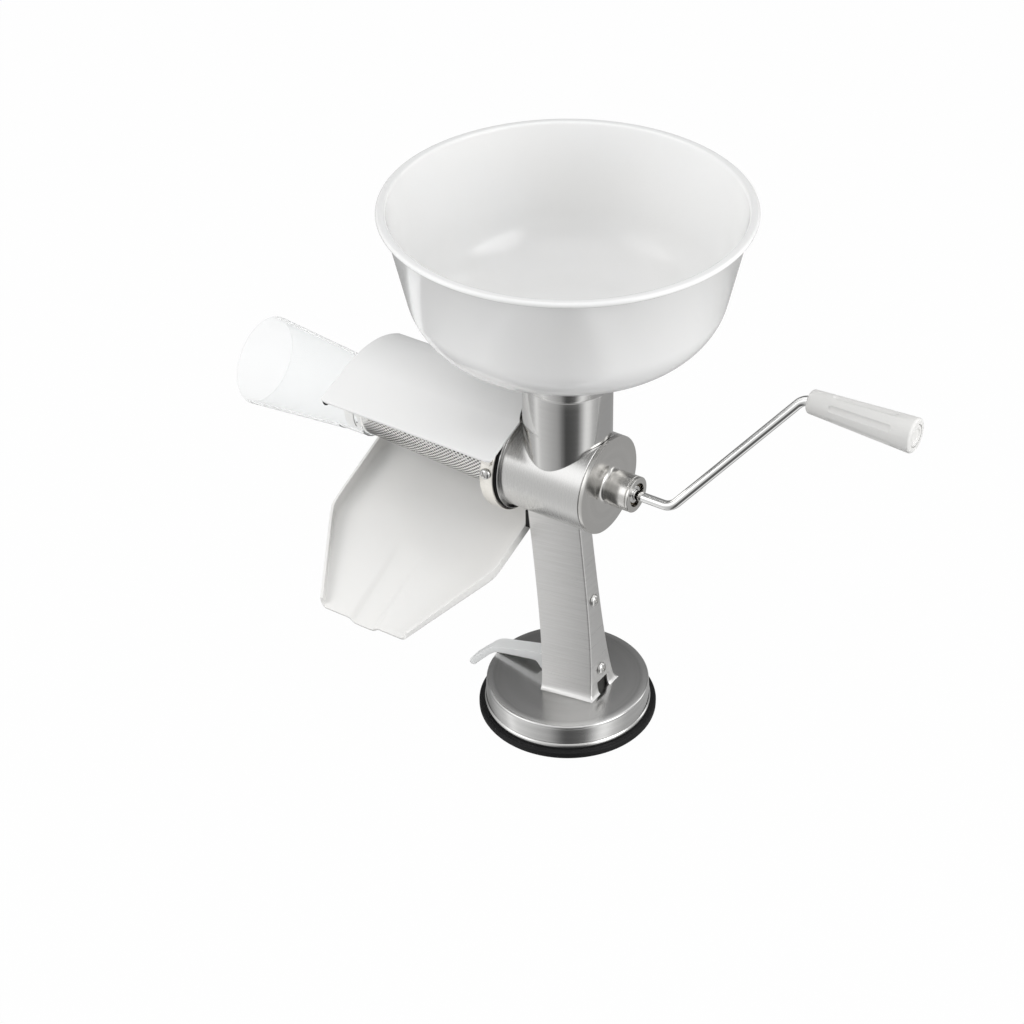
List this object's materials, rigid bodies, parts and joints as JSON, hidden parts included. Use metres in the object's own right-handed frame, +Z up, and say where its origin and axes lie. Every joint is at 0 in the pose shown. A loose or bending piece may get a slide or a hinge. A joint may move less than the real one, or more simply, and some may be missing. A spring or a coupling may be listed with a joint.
{
  "type": "hand-cranked food strainer",
  "caption": "Hand-cranked food strainer on a suction foot, with a round bowl over a steel barrel, a crank, a perforated cone, a juice chute and a clear waste funnel.",
  "frame": {"origin": "centre of the suction foot's flat underside, below the neck and the bowl", "axes": "+Z up the axis of the foot, the neck and the bowl; +X along the auger's axis towards the crank; the juice chute pours towards -Y"},
  "size_m": [0.503, 0.2516, 0.419],
  "materials": {
    "pad_rubber": "black rubber",
    "brushed_steel": "brushed across",
    "satin_steel": "satin",
    "turned_steel": "turned and polished",
    "bright_steel": "bright",
    "screen_steel": "perforated sheet",
    "screw_chrome": "plated",
    "rod_chrome": "mirror plated",
    "nickel": "satin nickel plate",
    "bronze": "plain bearing metal",
    "white_plastic": "satin moulded",
    "bowl_plastic": "gloss moulded",
    "lever_plastic": "milky, half clear",
    "clear_plastic": "clear moulded plastic"
  },
  "bodies": {
    "stand": {"suction_pad": "pad_rubber", "base_shell": "brushed_steel", "wear_washer": "bright_steel", "release_spring": "bright_steel", "lever_pin": "bright_steel", "pillar": "brushed_steel", "pillar_screw_lower": "screw_chrome", "pillar_screw_upper": "screw_chrome", "lever_bracket": "bright_steel", "barrel": "satin_steel", "end_cap": "turned_steel", "shaft_seal": "pad_rubber", "shaft_bushing": "bronze", "screen": "screen_steel", "screen_collar": "nickel", "barrel_gasket": "pad_rubber", "collar_screw_1": "nickel", "collar_screw_2": "nickel", "collar_screw_3": "nickel", "juice_chute": "white_plastic", "chute_clip": "pad_rubber", "shield_hook": "nickel"},
    "crank": {"crank_rod": "rod_chrome", "shaft_collar": "screw_chrome", "drive_block": "bright_steel", "auger": "white_plastic", "auger_spring": "bright_steel"},
    "grip": {"grip": "white_plastic", "grip_washer": "bright_steel", "grip_cap": "white_plastic"},
    "lever": {"suction_lever": "lever_plastic"},
    "stem": {"pull_stem": "bright_steel"},
    "bowl": {"hopper_bowl": "bowl_plastic"},
    "funnel": {"waste_funnel": "clear_plastic"},
    "shield": {"splash_shield": "white_plastic", "shield_stud": "pad_rubber"}
  },
  "joints": [
    {"name": "crank_turn", "type": "hinge", "parent": "stand", "child": "crank", "pos_m": [0.084, 0, 0.2096], "axis": [1, 0, 0], "continuous": true},
    {"name": "grip_spin", "type": "hinge", "parent": "crank", "child": "grip", "pos_m": [0.156, 0.05837, 0.28993], "axis": [1, 0, 0], "continuous": true},
    {"name": "lever_swing", "type": "hinge", "parent": "stand", "child": "lever", "pos_m": [0, 0, 0.037], "axis": [0, 1, 0], "range_deg": [0, 65]},
    {"name": "stem_slide", "type": "slide", "parent": "stand", "child": "stem", "axis": [0, 0, 1], "range_m": [-0.003, 0]},
    {"name": "bowl_lift", "type": "slide", "parent": "stand", "child": "bowl", "axis": [0, 0, 1], "range_m": [0, 0.1]},
    {"name": "funnel_pull", "type": "slide", "parent": "stand", "child": "funnel", "axis": [-1, 0, 0], "range_m": [0, 0.06]},
    {"name": "shield_lift", "type": "slide", "parent": "stand", "child": "shield", "axis": [0, 0, 1], "range_m": [0, 0.05]}
  ],
  "couplings": [
    {"joint": "stem_slide", "follows": "lever_swing", "m_per_rad": -0.002644}
  ]
}
